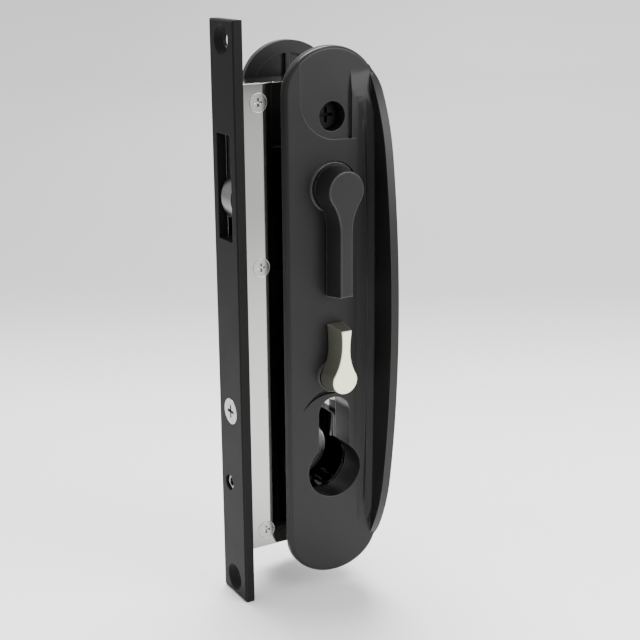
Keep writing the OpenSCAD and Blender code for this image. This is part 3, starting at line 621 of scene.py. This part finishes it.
@dataclass
class PullPlates(Dressing):
    """The two pull plates, their bushes and the screw that joins them.

    Sizes are in millimetres.

    Attributes:
        ridge: how far the ridge beside the fin stands out from the middle of the door, at its highest.
        ridge_rise: how far the ridge stands above its lowest level there.
        hill: radius of the long arc of the ridge, radius of its end arcs, and the height at which they meet.
        bead_x: where the bead starts and ends across the ridge.
        bead_half: half the length of the bead.
        bead_rise: how far the bead stands above the ridge on the fin's side.
        bead_fade: length over which the bead fades away at each end.
        bead_arc: the angle in radians that the bead's outline rises through.
        bead_root: how far the bead reaches into the plate.
        bead_grid: points along the bead and points across its outline.
        bead_sharp: corners of the bead above this many degrees stay sharp.
    """

    label: str = "pull plates"
    ridge: float = 17.2
    ridge_rise: float = 3.0
    hill: Tuple[float, float, float] = (2000.0, 122.0, 56.0)
    bead_x: Tuple[float, float] = (38.2, 40.18)
    bead_half: float = 69.0
    bead_rise: float = 1.05
    bead_fade: float = 8.0
    bead_arc: float = 1.25
    bead_root: float = 0.2
    bead_grid: Tuple[int, int] = (241, 17)
    bead_sharp: float = 40.0
    finishes: Dict[str, Tuple[Finish, str]] = field(default_factory=lambda: {
        "front_plate": (POWDER_COAT, "black_coat"),
        "rear_plate": (POWDER_COAT, "black_coat"),
        "lever_bushes": (EDGE_LIT_COAT, "black_coat"),
        "snib_bush": (EDGE_LIT_COAT, "black_coat"),
        "plate_screw": (BLACK_OXIDE, "black_screw"),
    })

    def ridge_height(self, z: np.ndarray) -> np.ndarray:
        """Height of the ridge above its lowest level, in millimetres.

        A long arc of radius R on top, and an end arc of radius r from |z| = m on, tangent to it:
        h = rise - R + sqrt(R^2 - z^2) up to m, then h = c + sqrt(r^2 - (|z| - m (1 - r / R))^2), where c
        makes the two level at m.

        Args:
            z: heights above the middle of the plate.

        Returns:
            The height at each of them.
        """
        top, end, meet = self.hill
        long_arc = self.ridge_rise - top + np.sqrt(top * top - np.minimum(np.abs(z), meet) ** 2)
        off = np.maximum(np.abs(z) - meet * (1.0 - end / top), 0.0)
        start = meet * end / top
        fall = np.sqrt(end * end - off ** 2) - math.sqrt(end * end - start * start)
        return np.where(np.abs(z) < meet, long_arc, long_arc + fall)

    def bead(self) -> None:
        """Rounded bead along the ridge beside the fin.

        Over u from 0 to 1 across the ridge it stands b(u) = rise sin(arc u) / sin(arc) above the ridge.
        At each end it fades to nothing by half of one minus the cosine of pi times the way along the fade.
        A loop through the plate closes it below, and each end closes in one point.
        """
        rows, columns = self.bead_grid
        z = np.linspace(-self.bead_half, self.bead_half, rows)
        u = np.linspace(0.0, 1.0, columns)
        x0, x1 = self.bead_x
        way = np.clip((self.bead_half - np.abs(z)) / self.bead_fade, 0.0, 1.0)
        fade = 0.5 - 0.5 * np.cos(math.pi * way)
        level = self.ridge - self.ridge_rise + self.ridge_height(z)
        crown = self.bead_rise * np.sin(self.bead_arc * u) / math.sin(self.bead_arc)
        over = level[:, None] + fade[:, None] * crown[None, :]
        under = np.repeat((level - self.bead_root)[:, None], 2, axis=1)
        x = np.concatenate([x0 + (x1 - x0) * u, [x1, x0]])
        y = -np.concatenate([over, under], axis=1)
        grid = [np.broadcast_to(x, y.shape), y, np.broadcast_to(z[:, None], y.shape)]
        points = np.stack(grid, -1) / MM_IN_A_METRE
        ends = [np.broadcast_to(points[i].mean(axis=0), points[i].shape)[None] for i in (0, -1)]
        piece = surface("ridge_bead", np.concatenate([ends[0], points, ends[1]]), closed=True, solid=True)
        piece.data.set_sharp_from_angle(angle=math.radians(self.bead_sharp))
        piece.data.materials.append(POWDER_COAT.material())
        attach(piece, self.body.value)
        LOG.info("%s: bead along the ridge", self.label)

    def build(self) -> None:
        """Dresses the nodes and adds the bead."""
        super().build()
        self.bead()


# Studio


@dataclass(frozen=True)
class SoftBox:
    """A soft square light.

    Attributes:
        name: the light's name.
        place: where it stands, in metres.
        aim: the point that it faces.
        side: its width and height.
        power: its power in watts.
    """

    name: str
    place: Tuple[float, float, float]
    aim: Tuple[float, float, float]
    side: float
    power: float

    def build(self) -> None:
        """Adds the light."""
        lamp = bpy.data.lights.new(self.name, "AREA")
        lamp.shape = "RECTANGLE"
        lamp.size, lamp.size_y = self.side, self.side
        lamp.energy = self.power
        made = bpy.data.objects.new(self.name, lamp)
        made.location = self.place
        made.rotation_euler = (Vector(self.aim) - Vector(self.place)).to_track_quat("-Z", "Y").to_euler()
        bpy.context.scene.collection.objects.link(made)


@dataclass(frozen=True)
class Paper:
    """Pale paper with painted light: its tone falls off slowly, as under one broad light.

    Attributes:
        painted_stops: distance along the view in metres, and the painted tone there.
        across: distances across the view between which the painted tone is tilted.
        painted_tilt: what the tone is multiplied by at those distances, a painted light that is brighter to
            the right.
        roughness: roughness of the paper.
        specular: specular level of the paper.
    """

    # Painted light: the tone of the paper at each distance along the view.
    painted_stops: Tuple[Tuple[float, float], ...] = ((-0.75, 0.22), (-0.35, 0.35), (-0.03, 0.86), (0.06, 0.8),
                                              (0.4, 0.38), (1.9, 0.95))
    across: Tuple[float, float] = (-0.3, 0.3)
    painted_tilt: Tuple[float, float] = (0.9, 1.1)
    roughness: float = 0.9
    specular: float = 0.1

    def fall(self, g: Graph, along: bpy.types.NodeSocket) -> bpy.types.NodeSocket:
        """Painted light along the view: the tone eased from stop to stop.

        Args:
            g: the writer of the material's nodes.
            along: distance along the view.

        Returns:
            The tone as a colour.
        """
        made = g.node("ShaderNodeValToRGB")
        curve = made.color_ramp
        curve.interpolation = "EASE"
        low, high = self.painted_stops[0][0], self.painted_stops[-1][0]
        while len(curve.elements) < len(self.painted_stops):
            curve.elements.new(0.5)
        for element, (where, tone) in zip(curve.elements, self.painted_stops):
            element.position = (where - low) / (high - low)
            element.color = (tone, tone, tone, 1.0)
        g.link(g.ramp(along, low, high, 0.0, 1.0), made.inputs["Fac"])
        return made.outputs["Color"]

    def material(self, forward: np.ndarray, right: np.ndarray) -> bpy.types.Material:
        """The painted tone along the view times a straight painted ramp across it, both in object
        coordinates.

        Args:
            forward: unit vector along the view, level.
            right: unit vector across the view, level.

        Returns:
            The material.
        """
        made = bpy.data.materials.new("studio paper with painted light")
        made.use_nodes = True
        g = Graph(made.node_tree)
        shader = made.node_tree.nodes["Principled BSDF"]
        place = g.node("ShaderNodeTexCoord").outputs["Object"]
        measures = []
        for direction in (forward, right):
            dot = g.node("ShaderNodeVectorMath", operation="DOT_PRODUCT")
            g.link(place, dot.inputs[0])
            dot.inputs[1].default_value = tuple(direction)
            measures.append(dot.outputs["Value"])
        scale = g.node("ShaderNodeVectorMath", operation="SCALE")
        g.link(self.fall(g, measures[0]), scale.inputs[0])
        g.link(g.ramp(measures[1], *self.across, *self.painted_tilt), scale.inputs["Scale"])
        g.link(scale.outputs["Vector"], shader.inputs["Base Color"])
        shader.inputs["Roughness"].default_value = self.roughness
        shader.inputs["Specular IOR Level"].default_value = self.specular
        return made


@dataclass
class Studio:
    """Pale floor that rises into a backdrop, soft lights and the camera.

    Lengths are in metres, angles in degrees.

    Attributes:
        floor: height of the floor, just under the lock.
        near: where the floor starts along the view, behind the camera.
        far: where the floor ends and the quarter circle starts.
        sweep: radius of the quarter circle.
        wall: height of the straight wall above it.
        half_width: half the width of the sheet.
        sheet_grid: points along the sheet and across it.
        paper: what the sheet is made of, with its painted light.
        sky_tone: tone of the even sky.
        sky_strength: strength of that sky.
        boxes: the soft lights.
        sensor: width of the camera's sensor in millimetres.
        lens: focal length in millimetres on that sensor.
        clip: nearest and furthest distance that the camera sees.
        eye: place of the camera.
        azimuth: from -Y towards +X, so that negative is to the left.
        elevation: above the horizon.
        roll: how far the camera leans.
    """

    floor: float = -0.0891
    near: float = -6.0
    far: float = 1.6
    sweep: float = 1.2
    wall: float = 3.0
    half_width: float = 4.0
    sheet_grid: Tuple[int, int] = (480, 9)
    paper: Paper = Paper()
    sky_tone: float = 0.9
    sky_strength: float = 1.15
    boxes: Tuple[SoftBox, ...] = (
        SoftBox("overhead box", (0.16, 0.36, 1.0), (0.02, 0.0, -0.05), 0.7, 34.0),
        SoftBox("front box", (0.7, -1.1, 0.5), (0.03, 0.0, 0.0), 0.9, 20.0),
    )
    sensor: float = 36.0
    lens: float = 73.04
    clip: Tuple[float, float] = (0.01, 20.0)
    eye: Tuple[float, float, float] = (-0.162441, -0.335033, 0.110698)
    azimuth: float = -30.086
    elevation: float = 16.422
    roll: float = -0.356

    def backdrop(self) -> None:
        """Floor and wall in one sheet.

        Across the view it runs straight. Along the view it is flat, then a quarter circle, then straight up,
        worked out from the length along that path.
        """
        flat_length = self.far - self.near
        turn = self.sweep * math.pi / 2
        rows, columns = self.sheet_grid
        s = np.linspace(0.0, flat_length + turn + self.wall, rows)
        flat = np.minimum(s, flat_length)
        angle = np.clip((s - flat_length) / self.sweep, 0.0, math.pi / 2)
        rise = np.clip(s - flat_length - turn, 0.0, None)
        along = self.near + flat + self.sweep * np.sin(angle)
        height = self.floor + self.sweep * (1.0 - np.cos(angle)) + rise
        across = np.linspace(-self.half_width, self.half_width, columns)
        a = math.radians(self.azimuth)
        forward = np.array([-math.sin(a), math.cos(a), 0.0])
        right = np.array([math.cos(a), math.sin(a), 0.0])
        points = (along[:, None, None] * forward + across[None, :, None] * right
                  + height[:, None, None] * np.array([0.0, 0.0, 1.0]))
        sheet = surface("studio_sheet", points)
        sheet.data.materials.append(self.paper.material(forward, right))

    def lights(self) -> None:
        """Overhead and front soft boxes under an even sky."""
        world = bpy.data.worlds.new("studio sky")
        world.use_nodes = True
        sky = world.node_tree.nodes["Background"]
        sky.inputs["Color"].default_value = (self.sky_tone, self.sky_tone, self.sky_tone, 1.0)
        sky.inputs["Strength"].default_value = self.sky_strength
        bpy.context.scene.world = world
        for box in self.boxes:
            box.build()

    def camera(self) -> None:
        """Sets the camera at the photograph's place, from its azimuth, elevation and roll."""
        a, e, r = (math.radians(x) for x in (self.azimuth, self.elevation, self.roll))
        back = Vector((math.sin(a) * math.cos(e), -math.cos(a) * math.cos(e), math.sin(e)))
        right = (-back).cross(Vector((0.0, 0.0, 1.0))).normalized()
        up = right.cross(-back)
        side = math.cos(r) * right + math.sin(r) * up
        top = math.cos(r) * up - math.sin(r) * right
        turn = Matrix((side, top, back)).transposed()
        data = bpy.data.cameras.new("photo camera")
        data.sensor_width = self.sensor
        data.lens = self.lens
        data.clip_start, data.clip_end = self.clip
        made = bpy.data.objects.new("photo camera", data)
        made.matrix_world = Matrix.Translation(self.eye) @ turn.to_4x4()
        bpy.context.scene.collection.objects.link(made)
        bpy.context.scene.camera = made

    def build(self) -> None:
        """Builds the whole studio."""
        self.backdrop()
        self.lights()
        self.camera()
        LOG.info("studio: backdrop, lights and camera")


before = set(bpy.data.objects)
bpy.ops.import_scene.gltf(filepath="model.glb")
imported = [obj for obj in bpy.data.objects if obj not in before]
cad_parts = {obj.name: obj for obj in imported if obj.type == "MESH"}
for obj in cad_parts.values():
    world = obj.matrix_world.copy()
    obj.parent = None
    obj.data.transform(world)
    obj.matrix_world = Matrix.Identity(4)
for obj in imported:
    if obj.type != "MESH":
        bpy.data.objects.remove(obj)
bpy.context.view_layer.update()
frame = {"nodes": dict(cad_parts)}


def main() -> None:
    """Dresses every sub-assembly, then builds the studio."""
    logging.basicConfig(level=logging.INFO, format="%(name)s: %(message)s")
    nodes = frame["nodes"]
    kinds = (Faceplate, Case, HookWork, LeverWork, SnibWork, Deadlock, PullPlates)
    parts: List[Dressing] = [kind(nodes) for kind in kinds]
    for part in parts:
        part.build()
    Studio().build()


if __name__ == "__main__":
    main()
